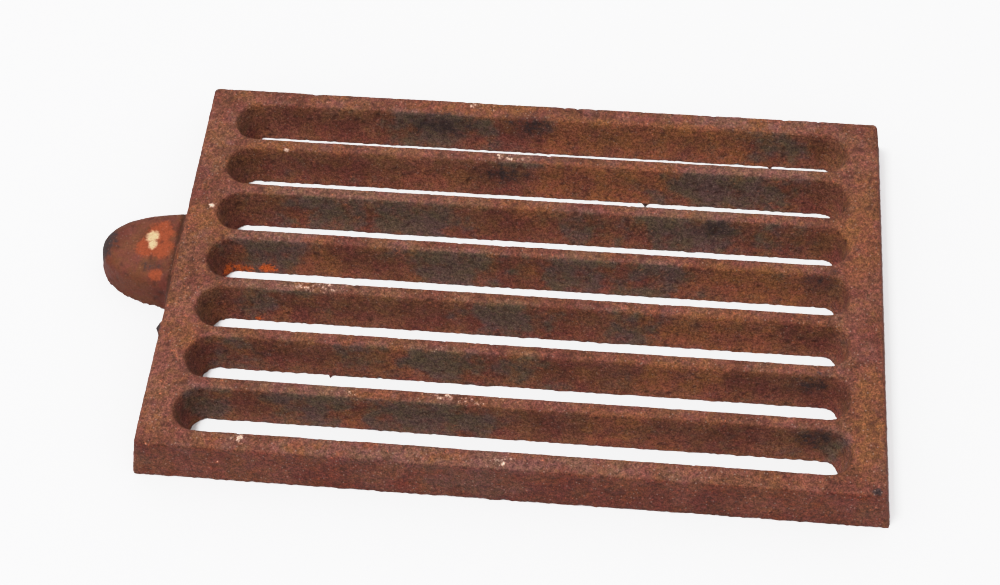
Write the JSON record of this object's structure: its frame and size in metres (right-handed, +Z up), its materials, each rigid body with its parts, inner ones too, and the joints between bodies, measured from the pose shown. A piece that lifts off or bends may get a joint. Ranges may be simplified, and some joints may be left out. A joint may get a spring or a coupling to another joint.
{
  "type": "floor drain grate",
  "caption": "Rectangular cast-iron floor drain grate with long round-ended tapered slots between ribs and a rounded lifting lug on one short side.",
  "frame": {"origin": "centre of the whole grate's outline, lug included, on the wide flat face that it lies on", "axes": "+X along the slots, away from the lifting lug; +Y across the slots; +Z up, from the wide face to the narrow face"},
  "size_m": [0.3388, 0.19, 0.0207],
  "materials": {
    "rusted_cast_iron": "rough sand-cast surface under even brown rust"
  },
  "bodies": {
    "root": {"end_rail_lug": "rusted_cast_iron", "end_rail_plain": "rusted_cast_iron", "rail_front": "rusted_cast_iron", "rail_back": "rusted_cast_iron", "bar_1": "rusted_cast_iron", "bar_2": "rusted_cast_iron", "bar_3": "rusted_cast_iron", "bar_4": "rusted_cast_iron", "bar_5": "rusted_cast_iron", "bar_6": "rusted_cast_iron", "lifting_lug": "rusted_cast_iron"}
  },
  "joints": []
}
